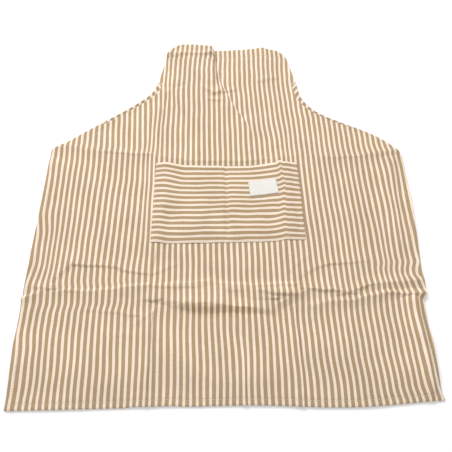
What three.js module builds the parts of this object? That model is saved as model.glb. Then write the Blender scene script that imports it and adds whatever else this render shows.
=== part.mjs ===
// A striped cloth bib apron that lies on its back on a flat surface, with the folds of its packing still in
// it. Millimetres: x runs across the apron, y up it from the skirt to the bib, z up from the surface.
import * as THREE from "three";

// Driving sizes. Places on the apron are measured from the middle of the pocket's bottom seam.
const CLOTH = 1.2;
const HEM_WIDTH = 10;
const HEM_STEP = 2;
const HEM_EXTRA = 1.2;
const STEEPEST = 1.8;
const PIECE_GAP = 0.3;

// The pocket: its edges and middle seam across the apron, and how far it stands off the panel inside.
const POCKET = { left: -127.5, right: 137.5, middle: 5, seam: 6, flank: 16, room: 5 };

// The label: its middle on the pocket, its size and the turn that it was sewn on with.
const LABEL = { x: 72, y: 98, width: 51, height: 29, turn: 5, thick: 0.8, columns: 6, rows: 4 };

// The colours of the cloth and the label.
const CLOTH_COLOUR = 0xc2a27c;
const POCKET_COLOUR = 0xc6a680;
const LABEL_COLOUR = 0xf2f0ea;
const CLOTH_ROUGHNESS = 0.92;

// The two edges of the cut, from the bottom up: each curve has its start, two pulls and its end.
const EDGES = {
  left: {
    side: [[-335, -258], [-337, -113], [-327, 30], [-324, 184]],
    armhole: [[-324, 184], [-214, 270], [-143, 294], [-133, 338]],
    bib: [[-133, 338], [-119, 388], [-117, 424], [-82, 430]],
  },
  right: {
    side: [[326, -262], [318, -113], [348, 40], [343, 160]],
    armhole: [[343, 160], [306, 238], [156, 236], [159, 335]],
    bib: [[159, 335], [147, 385], [149, 418], [123, 424]],
  },
};

// Rows of points up the apron: the edge that a band of rows runs along, where it ends there, and its rows.
const ROW_BANDS = [
  { name: "bottom hem", edge: "side", to: 0.023, rows: 1 },
  { name: "hem step", edge: "side", to: 0.027, rows: 1 },
  { name: "lower skirt", edge: "side", to: 0.29, rows: 5 },
  { name: "lower crease", edge: "side", to: 0.46, rows: 9 },
  { name: "under the pocket", edge: "side", to: 0.585, rows: 3 },
  { name: "pocket bottom seam", edge: "side", to: 0.599, rows: 1 },
  { name: "pocket swell", edge: "side", to: 0.635, rows: 2 },
  { name: "pocket", edge: "side", to: 0.905, rows: 7 },
  { name: "pocket mouth", edge: "side", to: 0.932, rows: 1 },
  { name: "upper crease", edge: "side", to: 1, rows: 3 },
  { name: "armhole", edge: "armhole", to: 1, rows: 10 },
  { name: "bib", edge: "bib", to: 0.51, rows: 4 },
  { name: "top hem step", edge: "bib", to: 0.55, rows: 1 },
  { name: "top hem", edge: "bib", to: 0.92, rows: 4 },
  { name: "top edge", edge: "bib", to: 1, rows: 1 },
];

// The lines of points along a hem. The deeper hem at the top has more.
const HEM_LINES = 2;
const TOP_HEM_LINES = 6;

// Columns of points between the side hems, at the places that they have across the skirt.
const COLUMN_BANDS = [
  { name: "left skirt", to: POCKET.left, columns: 11 },
  { name: "pocket left seam", to: POCKET.left + POCKET.seam, columns: 1 },
  { name: "left swell", to: POCKET.left + POCKET.seam + POCKET.flank, columns: 2 },
  { name: "left half", to: POCKET.middle - POCKET.seam / 2 - POCKET.flank, columns: 5 },
  { name: "swell left of the middle", to: POCKET.middle - POCKET.seam / 2, columns: 1 },
  { name: "middle seam", to: POCKET.middle + POCKET.seam / 2, columns: 1 },
  { name: "swell right of the middle", to: POCKET.middle + POCKET.seam / 2 + POCKET.flank, columns: 1 },
  { name: "right half", to: POCKET.right - POCKET.seam - POCKET.flank, columns: 5 },
  { name: "right swell", to: POCKET.right - POCKET.seam, columns: 2 },
  { name: "pocket right seam", to: POCKET.right, columns: 1 },
  { name: "right skirt", to: 324, columns: 11 },
];
const INSIDE_LEFT = -322;
const INSIDE_RIGHT = COLUMN_BANDS[COLUMN_BANDS.length - 1].to;

// Folds: a crest from one point to another with its height at each end, how far its flanks reach to the left
// and right of the way it runs, and how far the cloth is drawn up the apron at each end, where it is drawn.
// Creases have a sharp crest.
const CREASES = [
  { name: "upper, left", from: [-342, 195], to: [-75, 162], rise: [3, 2.5], reach: [30, 26] },
  { name: "upper, middle", from: [-75, 162], to: [180, 154], rise: [1.2, 1.2], reach: [22, 12] },
  { name: "upper, right", from: [180, 154], to: [346, 176], rise: [2, 4], reach: [26, 24] },
  { name: "lower left foot", from: [-344, -99], to: [-296, -78], rise: [4.5, 2.5], reach: [14, 18] },
  { name: "lower left line", from: [-292, -86], to: [-204, -85], rise: [2, 2.2], reach: [14, 24] },
  { name: "lower left line, end", from: [-204, -85], to: [-125, -71], rise: [2.2, 3.5], reach: [14, 20] },
  { name: "left bump, rise", from: [-294, -72], to: [-262, -36], rise: [2.5, 3.4], reach: [26, 14] },
  { name: "left bump, top", from: [-262, -36], to: [-225, -38], rise: [3.4, 2.4], reach: [30, 14] },
  { name: "left bump, fall", from: [-225, -38], to: [-126, -58], rise: [2.4, 2], reach: [28, 14] },
  { name: "right rise", from: [96, -106], to: [132, -90], rise: [6.5, 4], reach: [14, 18] },
  { name: "right line, start", from: [130, -88], to: [205, -94], rise: [4, 3.5], reach: [22, 14] },
  { name: "right line, middle", from: [205, -94], to: [255, -84], rise: [3.5, 4], reach: [20, 14] },
  { name: "right line, end", from: [255, -84], to: [346, -76], rise: [4, 5.5], reach: [20, 14] },
  { name: "right low ridge", from: [150, -113], to: [260, -101], rise: [2, 4], reach: [14, 16] },
  { name: "right low ridge, end", from: [260, -101], to: [346, -100], rise: [4, 8], reach: [14, 14] },
  { name: "right bump, rise", from: [142, -62], to: [180, -46], rise: [1.4, 2.4], reach: [22, 14] },
  { name: "right bump, fall", from: [180, -46], to: [224, -42], rise: [2.4, 1.2], reach: [22, 14] },
  { name: "left fold, skirt low", from: [-124, -262], to: [-122, -130], rise: [1, 3], reach: [20, 16] },
  { name: "left fold, skirt high", from: [-122, -60], to: [-121, -8], rise: [2, 3], reach: [20, 16] },
  { name: "left fold, bib", from: [-112, 170], to: [-96, 330], rise: [3, 2], reach: [20, 16] },
  { name: "right fold, skirt low", from: [112, -266], to: [112, -130], rise: [3.6, 2.4], reach: [24, 16] },
  { name: "right fold, skirt high", from: [112, -100], to: [109, -8], rise: [1.5, 3.5], reach: [16, 24] },
  {
    name: "right fold, pocket low", from: [109, -8], to: [109, 62], rise: [5, 5], reach: [34, 34],
    draw: [0, 2.5],
  },
  {
    name: "right fold, pocket high", from: [109, 62], to: [109, 150], rise: [5, 5], reach: [42, 66],
    draw: [4, 9.5],
  },
  { name: "hem crease", from: [27, -268], to: [25, -158], rise: [3.5, 0.4], reach: [16, 16] },
  { name: "right side", from: [302, -48], to: [320, 150], rise: [2, 4], reach: [30, 18] },
  { name: "right edge lift", from: [341, -70], to: [345, 70], rise: [5, 4], reach: [26, 16] },
  { name: "right hem curl", from: [318, -266], to: [311, -116], rise: [4, 5.5], reach: [28, 14] },
  { name: "left hem lift", from: [-331, -70], to: [-326, 150], rise: [3, 3], reach: [20, 60] },
  { name: "bib right ridge", from: [90, 320], to: [96, 442], rise: [1, 9], reach: [100, 48], draw: [0, 4] },
];

// Rolls have a round crest and soft flanks.
const ROLLS = [
  { name: "lower crease, left end", from: [-118, -73], to: [-76, -103], rise: [3.5, 7], reach: [30, 14] },
  { name: "lower crease, middle", from: [-76, -102], to: [-40, -109], rise: [8, 9], reach: [28, 16] },
  { name: "lower crease, tail", from: [-40, -109], to: [62, -119], rise: [9, 4.5], reach: [28, 16] },
  { name: "lower crease, right end", from: [42, -84], to: [104, -93], rise: [4, 7.5], reach: [20, 14] },
  {
    name: "left fold, pocket low", from: [-122, -8], to: [-118, 70], rise: [3.5, 4.5], reach: [44, 26],
    draw: [1.5, 2],
  },
  {
    name: "left fold, pocket high", from: [-118, 70], to: [-114, 155], rise: [4.5, 5], reach: [44, 44],
    draw: [2.5, 4.5],
  },
];

// Swells have a flat crest, and flanks only near the ends of the reach.
const SWELLS = [
  { name: "lower crease, back", from: [-116, -88], to: [108, -92], rise: [4, 4], reach: [20, 15] },
  {
    name: "hem sag", from: [175, -270], to: [175, -240], rise: [0.8, 0.5], reach: [140, 140],
    draw: [-4, -4],
  },
  {
    name: "hem rise", from: [-110, -270], to: [-110, -240], rise: [0.8, 0.5], reach: [50, 45],
    draw: [1.5, 1.5],
  },
  { name: "bib hump, tail", from: [6, 238], to: [-48, 337], rise: [1, 8], reach: [66, 42] },
  { name: "bib hump", from: [-48, 337], to: [-60, 448], rise: [8, 13], reach: [72, 50], draw: [4, 3.5] },
];
const NO_DRAW = [0, 0];
const CREASE_POWER = 1.6;
const SWELL_FLANK = 3;
const FADE = 30;

// The bib takes up width where it goes over its hump. Below it the folds are too low for that to show.
const TAKE_UP = { from: 200, full: 250, leftShare: 0.4, leastStep: 1 / 3 };

function clamp(value) {
  return Math.min(1, Math.max(0, value));
}

function smooth(value) {
  const part = clamp(value);
  return part * part * (3 - 2 * part);
}

function mix(a, b, share) {
  return a + (b - a) * share;
}

const FOLDS = [
  { folds: CREASES, profile: (within) => within ** CREASE_POWER },
  { folds: ROLLS, profile: smooth },
  { folds: SWELLS, profile: (within) => smooth(within * SWELL_FLANK) },
];

// How high a fold stands at a place and how far it draws the cloth there, both 0 beyond its reach.
function foldAt(fold, profile, x, y) {
  const along = new THREE.Vector2(fold.to[0] - fold.from[0], fold.to[1] - fold.from[1]);
  const length = along.length();
  along.normalize();
  const away = new THREE.Vector2(x - fold.from[0], y - fold.from[1]);
  const run = away.dot(along);
  const side = along.cross(away);
  const beyond = Math.max(0, -run, run - length);
  const within = 1 - Math.abs(side) / (side > 0 ? fold.reach[0] : fold.reach[1]);
  if (within <= 0 || beyond >= FADE) {
    return { height: 0, draw: 0 };
  }
  const share = profile(within) * smooth(1 - beyond / FADE);
  const part = clamp(run / length);
  const [drawStart, drawEnd] = fold.draw ?? NO_DRAW;
  return { height: share * mix(...fold.rise, part), draw: share * mix(drawStart, drawEnd, part) };
}

// The height of the cloth's underside above the surface, and how far the folds draw it up the apron.
function foldsAt(x, y) {
  let height = 0;
  let drawUp = 0;
  let drawDown = 0;
  for (const { folds, profile } of FOLDS) {
    for (const fold of folds) {
      const here = foldAt(fold, profile, x, y);
      height = Math.max(height, here.height);
      drawUp = Math.max(drawUp, here.draw);
      drawDown = Math.min(drawDown, here.draw);
    }
  }
  return { height, draw: drawUp + drawDown };
}

function edgeCurve(points) {
  return new THREE.CubicBezierCurve(...points.map(([x, y]) => new THREE.Vector2(x, y)));
}

// One station a row: its edge, and the place along it.
function rowStations() {
  const stations = [{ edge: "side", at: 0 }];
  let edge = "side";
  let from = 0;
  for (const band of ROW_BANDS) {
    if (band.edge !== edge) {
      edge = band.edge;
      from = 0;
    }
    for (let row = 1; row <= band.rows; row += 1) {
      stations.push({ edge, at: mix(from, band.to, row / band.rows) });
    }
    from = band.to;
  }
  return stations;
}

// The places of the columns between the side hems, across the skirt.
function columnPlaces() {
  const places = [INSIDE_LEFT];
  for (const band of COLUMN_BANDS) {
    const from = places[places.length - 1];
    for (let column = 1; column <= band.columns; column += 1) {
      places.push(mix(from, band.to, column / band.columns));
    }
  }
  return places;
}

// The points of one row, left to right: the two lines of each side hem, and the columns between them, which
// draw together where the apron narrows.
function rowPoints(left, right, places) {
  const across = right.clone().sub(left).normalize();
  const slope = across.y / across.x;
  const innerLeft = left.x + HEM_WIDTH + HEM_STEP;
  const innerRight = right.x - HEM_WIDTH - HEM_STEP;
  const middle = (INSIDE_LEFT + INSIDE_RIGHT) / 2;
  const xs = [left.x, left.x + HEM_WIDTH];
  for (const place of places) {
    const leftPull = clamp((middle - place) / (middle - INSIDE_LEFT));
    const rightPull = clamp((place - middle) / (INSIDE_RIGHT - middle));
    xs.push(place + leftPull * (innerLeft - INSIDE_LEFT) + rightPull * (innerRight - INSIDE_RIGHT));
  }
  xs.push(right.x - HEM_WIDTH, right.x);
  return xs.map((x) => new THREE.Vector2(x, left.y + (x - left.x) * slope));
}

// The width that a row gives up to its folds, so that the cloth keeps its own width.
function takeUp(row) {
  const laid = [0];
  for (let column = 1; column < row.length; column += 1) {
    const step = row[column].x - row[column - 1].x;
    const climb = row[column].under - row[column - 1].under;
    const share = smooth((row[column].y - TAKE_UP.from) / (TAKE_UP.full - TAKE_UP.from));
    const least = step * TAKE_UP.leastStep;
    laid.push(laid[column - 1] + Math.sqrt(Math.max(step * step - share * climb * climb, least * least)));
  }
  const width = row[row.length - 1].x - row[0].x;
  const start = row[0].x + (width - laid[laid.length - 1]) * TAKE_UP.leftShare;
  row.forEach((point, column) => {
    point.x = start + laid[column];
  });
}

// The wall's upright thickness, more on a slope so that the cloth keeps its own thickness.
function setThickness(grid) {
  const last = { row: grid.length - 1, column: grid[0].length - 1 };
  grid.forEach((row, j) => row.forEach((point, i) => {
    const [west, east] = [row[Math.max(0, i - 1)], row[Math.min(last.column, i + 1)]];
    const [south, north] = [grid[Math.max(0, j - 1)][i], grid[Math.min(last.row, j + 1)][i]];
    const slopeX = (east.under - west.under) / (east.x - west.x);
    const slopeY = (north.under - south.under) / (north.y - south.y);
    const hemmed = Math.min(i, j, last.column - i) < HEM_LINES || last.row - j < TOP_HEM_LINES;
    point.thick = (CLOTH + (hemmed ? HEM_EXTRA : 0)) * Math.min(STEEPEST, Math.hypot(1, slopeX, slopeY));
  }));
}

// The panel's grid of points: place, height of the underside and thickness.
function panelGrid() {
  const places = columnPlaces();
  const grid = rowStations().map(({ edge, at }) => {
    const left = edgeCurve(EDGES.left[edge]).getPoint(at);
    const right = edgeCurve(EDGES.right[edge]).getPoint(at);
    const row = rowPoints(left, right, places).map(({ x, y }) => {
      const { height, draw } = foldsAt(x, y);
      return { flatX: x, flatY: y, x, y: y + draw, under: height, thick: 0 };
    });
    takeUp(row);
    return row;
  });
  setThickness(grid);
  return grid;
}

// A closed wall from a grid of points: a thin box with the grid's columns and rows, laid over them.
function clothSolid(grid) {
  const rows = grid.length - 1;
  const columns = grid[0].length - 1;
  const box = new THREE.BoxGeometry(1, 1, 1, columns, rows, 1);
  const position = box.attributes.position;
  for (let k = 0; k < position.count; k += 1) {
    const column = Math.round((position.getX(k) + 0.5) * columns);
    const row = Math.round((position.getY(k) + 0.5) * rows);
    const point = grid[row][column];
    const top = position.getZ(k) > 0;
    position.setXYZ(k, point.x, point.y, point.under + (top ? point.thick : 0));
  }
  box.computeVertexNormals();
  return box;
}

// The pocket lies on the panel's own points, so the gap between the two is the same all along the seams.
function pocketGrid(panel) {
  const names = ROW_BANDS.map(({ name }) => name);
  const rowsBefore = (name) => ROW_BANDS.slice(0, names.indexOf(name))
    .reduce((sum, { rows }) => sum + rows, 0);
  const bottom = rowsBefore("pocket bottom seam");
  const mouth = rowsBefore("upper crease");
  const places = columnPlaces();
  const first = HEM_LINES + places.indexOf(POCKET.left);
  const last = HEM_LINES + places.indexOf(POCKET.right);
  const seamY = panel[bottom][first].flatY;
  return panel.slice(bottom, mouth + 1).map((row) => row.slice(first, last + 1).map((point, i) => {
    const place = places[first - HEM_LINES + i];
    const fromSide = Math.min(place - POCKET.left, POCKET.right - place) - POCKET.seam;
    const fromMiddle = Math.abs(place - POCKET.middle) - POCKET.seam / 2;
    const rowSlope = (row[last].flatY - row[first].flatY) / (row[last].flatX - row[first].flatX);
    const fromBottom = point.flatY - seamY - (point.flatX - row[first].flatX) * rowSlope - POCKET.seam;
    const across = smooth(Math.min(fromSide, fromMiddle) / POCKET.flank);
    const up = smooth(fromBottom / POCKET.flank);
    const stand = PIECE_GAP + POCKET.room * across * up;
    return { ...point, under: point.under + point.thick + stand };
  }));
}

// The height of a grid's upper side at a place, from the four points around it.
function topAt(grid, x, y) {
  for (let j = 1; j < grid.length; j += 1) {
    for (let i = 1; i < grid[j].length; i += 1) {
      const [low, high] = [grid[j - 1][i - 1], grid[j][i]];
      if (x >= low.x && x <= high.x && y >= low.y && y <= high.y) {
        const share = { x: (x - low.x) / (high.x - low.x), y: (y - low.y) / (high.y - low.y) };
        const top = (point) => point.under + point.thick;
        const front = mix(top(low), top(grid[j - 1][i]), share.x);
        const back = mix(top(grid[j][i - 1]), top(high), share.x);
        return mix(front, back, share.y);
      }
    }
  }
  throw new Error(`no cloth at ${x}, ${y}`);
}

// The label is a small flat piece turned a little, which follows the pocket under it.
function labelGrid(pocket) {
  const turn = THREE.MathUtils.degToRad(LABEL.turn);
  const grid = [];
  for (let j = 0; j <= LABEL.rows; j += 1) {
    const row = [];
    for (let i = 0; i <= LABEL.columns; i += 1) {
      const across = (i / LABEL.columns - 0.5) * LABEL.width;
      const up = (j / LABEL.rows - 0.5) * LABEL.height;
      const x = LABEL.x + across * Math.cos(turn) - up * Math.sin(turn);
      const y = LABEL.y + across * Math.sin(turn) + up * Math.cos(turn);
      row.push({ x, y, under: topAt(pocket, x, y) + 2 * PIECE_GAP, thick: LABEL.thick });
    }
    grid.push(row);
  }
  return grid;
}

function piece(name, grid, colour) {
  const material = new THREE.MeshStandardMaterial({ color: colour, roughness: CLOTH_ROUGHNESS });
  const mesh = new THREE.Mesh(clothSolid(grid), material);
  mesh.name = name;
  return mesh;
}

// The apron stands on the middle of its box.
const panel = panelGrid();
const pocket = pocketGrid(panel);
const apron = new THREE.Group();
apron.add(piece("front_panel", panel, CLOTH_COLOUR));
apron.add(piece("pocket", pocket, POCKET_COLOUR));
apron.add(piece("label", labelGrid(pocket), LABEL_COLOUR));
const middle = new THREE.Box3().setFromObject(apron).getCenter(new THREE.Vector3());
apron.position.set(-middle.x, -middle.y, 0);

export default apron;
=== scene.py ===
"""A striped cloth bib apron that lies on its back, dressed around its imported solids.

The cloth is laid in fine grids over the edges and main folds of the solids, and gets its small creases,
turned hems, stitches, stripes and weave here. Lengths in the tables are millimetres on the apron: x runs
across it and y up it from the middle of the pocket's bottom seam. The meshes are in metres, in the frame of
the solids.
"""

import math
from collections import namedtuple

import bpy
import numpy as np
from bpy.props import FloatProperty, FloatVectorProperty, IntProperty, PointerProperty
from bpy.types import Operator, Panel, PropertyGroup
from mathutils import Matrix
from mathutils.bvhtree import BVHTree


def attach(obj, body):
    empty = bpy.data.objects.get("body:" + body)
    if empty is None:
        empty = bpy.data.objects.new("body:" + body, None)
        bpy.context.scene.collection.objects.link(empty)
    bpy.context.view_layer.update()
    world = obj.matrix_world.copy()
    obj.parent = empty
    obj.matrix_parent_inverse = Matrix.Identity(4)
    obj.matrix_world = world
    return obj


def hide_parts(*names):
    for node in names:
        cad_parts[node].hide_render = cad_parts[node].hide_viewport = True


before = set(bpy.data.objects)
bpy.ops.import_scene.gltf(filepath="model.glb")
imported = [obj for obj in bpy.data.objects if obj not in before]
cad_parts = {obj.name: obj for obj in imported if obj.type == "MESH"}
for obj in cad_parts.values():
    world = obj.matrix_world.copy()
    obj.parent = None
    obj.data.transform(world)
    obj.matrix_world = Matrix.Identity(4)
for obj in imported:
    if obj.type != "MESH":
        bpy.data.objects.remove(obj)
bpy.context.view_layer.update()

bl_info = {
    "name": "Striped Cloth Apron",
    "version": (1, 0, 0),
    "blender": (4, 5, 0),
    "location": "View3D > Sidebar > Apron",
    "description": "Lays out a striped cloth bib apron with its pocket, label, hems and stitches",
    "category": "Add Mesh",
}

MM = 0.001

# The apron's own place in the frame of the solids, in millimetres.
APRON_AT = (-4.149, -83.970)

# The two edges of the cut, from the bottom up: each curve has its start, two pulls and its end.
EDGES = {
    "left": {
        "side": [(-335, -258), (-337, -113), (-327, 30), (-324, 184)],
        "armhole": [(-324, 184), (-214, 270), (-143, 294), (-133, 338)],
        "bib": [(-133, 338), (-119, 388), (-117, 424), (-82, 430)],
    },
    "right": {
        "side": [(326, -262), (318, -113), (348, 40), (343, 160)],
        "armhole": [(343, 160), (307, 247), (156, 230), (159, 335)],
        "bib": [(159, 335), (147, 385), (149, 418), (123, 424)],
    },
}
# Small waves of the side edges: places up the apron, and how far to the right the edge is there.
EDGE_WAVES = {
    "left": [(-262, 1.5), (-240, 3.5), (-215, 4), (-190, 2.5), (-165, 0)],
    "right": [
        (-262, 0), (-248, -3), (-225, -2), (-190, -1), (-178, 1), (-152, -1.5), (-128, -1), (-114, -1.5),
        (-103, 2), (-90, 4), (-78, 2), (-60, 0)],
}

# About how long a side edge is, and how many points of the bib's edge are tried to find a place on it.
SIDE_LENGTH = 444
EDGE_SAMPLES = 200

# Rows of points up the apron between its hems: the edge that a band runs along, the share of that edge where
# it ends, and its rows. A row's station is its edge, the share of the way along it, and how far in it is.
Station = namedtuple("Station", "edge at inward")
ROW_BANDS = [
    ("side", 0.29, 22),
    ("side", 0.53, 74),
    ("side", 0.93, 20),
    ("side", 1.0, 14),
    ("armhole", 0.1, 6),
    ("armhole", 0.7, 26),
    ("armhole", 1.0, 22),
    ("bib", 0.49, 18),
]

# Columns of points between the side hems: where a band ends across the skirt, and its columns.
INSIDE_LEFT = -322
INSIDE_RIGHT = 324
COLUMN_BANDS = [
    (-185, 25), (-128, 21), (-115, 13), (-90, 9), (10, 24), (22, 4), (31, 9), (95, 18), (105, 4), (118, 13),
    (140, 7), (290, 34), (INSIDE_RIGHT, 14),
]

# The lines of points along a hem, in from the edge, its width, its line of stitches, and where the points of
# the cloth inside it start.
HEM_LINES = (0, 0.6, 2, 5, 8.5, 9.7, 10.3)
HEM_WIDTH = 10
HEM_STITCH = 8.5
HEM_INSIDE = 12

# The top hem is some times deeper, and has more lines because the corners turn there.
TOP_HEM_TIMES = 2.4
TOP_HEM_LINES = (0, 0.2, 0.6, 1.2, 2, 3.5, 5, 6.8, 8.5, 9.7, 10.3)

# How far a hem's second layer lifts the cloth, and over what distance the cloth eases down behind it.
HEM_LIFT = 0.9
HEM_EASE = 14

# How far the stitches sink into a hem and over what half width, and where they sink deeper: the edge, from
# and to along it, how deep, and how high the hem rolls up outside them.
GROOVE = {"depth": 0.45, "half": 2.0}
GROOVES = [
    ("left", 238, 350, 1.4, 2.2),
    ("right", 222, 350, 1.4, 2.2),
    ("top", -125, -6, 2.0, 0),
]
GROOVE_FADE = 25
HEM_ROLL = {"at": 4.5, "half": 2.2}

# How far the upper face drops towards a turned edge, and over what distance.
HEM_ROUND = {"drop": 0.5, "over": 0.5}

# The upper parts of the armholes' hems are turned on the bias, so their stripes cross them at a slant, from
# these places up the apron. The armholes' edges curl down, which fades over a share of the edge at both ends.
BIAS = math.sqrt(0.5)
BIAS_FROM = {"left": 246, "right": 230}
ARMHOLE_ROUND = {"drop": 1.5, "over": 4, "fade": 0.15}

# A fold has a crest from one point to another with its height at each end, how far its flanks reach to the
# left and right of the way it runs, and how far the cloth is drawn up the apron at each end of the crest.
Fold = namedtuple("Fold", "name start end rise reach draw", defaults=[(0, 0)])

# Creases have a sharp crest.
CREASES = [
    Fold("upper, left", (-342, 195), (-75, 162), (3, 2.5), (30, 26)),
    Fold("upper, middle", (-75, 162), (180, 154), (1.2, 1.2), (22, 12)),
    Fold("upper, right", (180, 154), (346, 176), (2, 4), (26, 24)),
    Fold("lower left foot", (-344, -99), (-296, -78), (4.5, 2.5), (6, 16)),
    Fold("lower left line", (-292, -86), (-204, -85), (2, 2.2), (5, 24)),
    Fold("lower left line, end", (-204, -85), (-125, -71), (2.2, 3.5), (5, 20)),
    Fold("left bump, rise", (-294, -72), (-262, -36), (2.5, 3.4), (26, 4)),
    Fold("left bump, top", (-262, -36), (-225, -38), (3.4, 2.4), (30, 4)),
    Fold("left bump, fall", (-225, -38), (-126, -58), (2.4, 2), (28, 4)),
    Fold("right rise", (96, -106), (132, -90), (5, 4), (14, 18)),
    Fold("right line, start", (130, -88), (205, -94), (4, 3.5), (22, 4.5)),
    Fold("right line, middle", (205, -94), (255, -84), (3.5, 4), (20, 4.5)),
    Fold("right line, end", (255, -84), (346, -76), (4, 4), (20, 18)),
    Fold("right low ridge", (150, -113), (260, -101), (2, 4), (8, 16)),
    Fold("right low ridge, end", (260, -101), (346, -100), (4, 7.5), (10, 12)),
    Fold("right bump, rise", (142, -62), (180, -46), (1.4, 2.4), (22, 4)),
    Fold("right bump, fall", (180, -46), (224, -42), (2.4, 1.2), (22, 4)),
    Fold("left fold, skirt low", (-124, -262), (-122, -130), (1.5, 3.5), (20, 2.5)),
    Fold("left fold, skirt high", (-122, -60), (-121, -8), (2, 3), (20, 4)),
    Fold("right fold, skirt low", (112, -266), (112, -130), (2.5, 2.5), (24, 2.5)),
    Fold("right fold, skirt high", (112, -100), (109, -8), (1.5, 3.5), (6, 24)),
    Fold("right fold, pocket low", (109, -8), (109, 62), (5, 5), (34, 34)),
    Fold("right fold, pocket high", (109, 62), (109, 150), (5, 5), (42, 66)),
    Fold("hem crease", (27, -268), (25, -158), (2.5, 0.5), (12, 2.5)),
    Fold("right side", (302, -48), (320, 150), (2, 4), (30, 16)),
    Fold("right edge lift", (341, -70), (345, 70), (5, 4), (26, 16)),
    Fold("right hem curl", (307, -240), (310, -116), (7, 9), (30, 14)),
    Fold("left hem lift", (-331, -70), (-326, 150), (3, 3), (20, 60)),
    Fold("pocket point, low", (108, -8), (107, 62), (0, 0), (26, 20), (2.5, 4.5)),
    Fold("pocket point, high", (107, 62), (106, 150), (0, 0), (26, 18), (4.5, 12)),
    Fold("bib right ridge", (90, 320), (96, 442), (1, 9), (100, 48), (0, 4)),
]

# Rolls have a round crest and soft flanks.
ROLLS = [
    Fold("lower crease, left end", (-118, -76), (-95, -103), (3.5, 4), (30, 10)),
    Fold("lower crease, start", (-95, -103), (-66, -110), (4, 7.5), (40, 10)),
    Fold("lower crease, dark part", (-66, -110), (-8, -111), (8.5, 10), (50, 13)),
    Fold("lower crease, middle", (-8, -111), (60, -119), (8, 4), (40, 12)),
    Fold("lower crease, right end", (52, -86), (104, -95), (5, 9), (20, 10)),
    Fold("left corner", (-325, 160), (-325, 205), (0, 0), (30, 24), (0, 5)),
    Fold("hem sag", (185, -270), (185, -240), (0.8, 0.5), (165, 150), (-6.5, -5.5)),
    Fold("left fold, pocket low", (-122, -8), (-118, 70), (3.5, 4.5), (44, 26), (1.5, 2)),
    Fold("pocket rise, middle", (-10, 55), (85, 57), (0, 0), (28, 28), (2.2, 3)),
    Fold("pocket rise, low right", (130, -8), (130, 80), (0, 0), (60, 150), (2, 4)),
    Fold("pocket rise, high right", (126, 80), (124, 160), (0, 0), (92, 150), (4, 9.5)),
    Fold("left fold, pocket high", (-118, 70), (-114, 155), (4.5, 5), (44, 44), (2.5, 4.5)),
]

# Swells have a flat crest, and flanks only near the ends of the reach.
SWELLS = [
    Fold("lower crease, back", (-116, -88), (108, -92), (4, 4), (20, 15)),
    Fold("hem rise", (-110, -270), (-110, -240), (0.8, 0.5), (50, 45), (1.5, 1.5)),
    Fold("bib hump, tail", (6, 238), (-48, 337), (1, 8), (66, 42)),
    Fold("bib hump", (-48, 337), (-60, 448), (8, 11), (72, 50), (4, 3)),
]

# How hollow the flanks of a crease are, how many times shorter those of a swell are, and how far past its
# ends a fold fades.
CREASE_POWER = 1.6
SWELL_FLANK = 3
FADE = 30

# Crests are never quite straight: distances, from broad to fine, and about how far crests waver over them,
# except near the side edges.
WAVERS = [(60, 7), (22, 2.5), (9, 1.2)]
WAVER_SEED = 53
WAVER_ENDS = {"at": 330, "over": 60}

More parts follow.
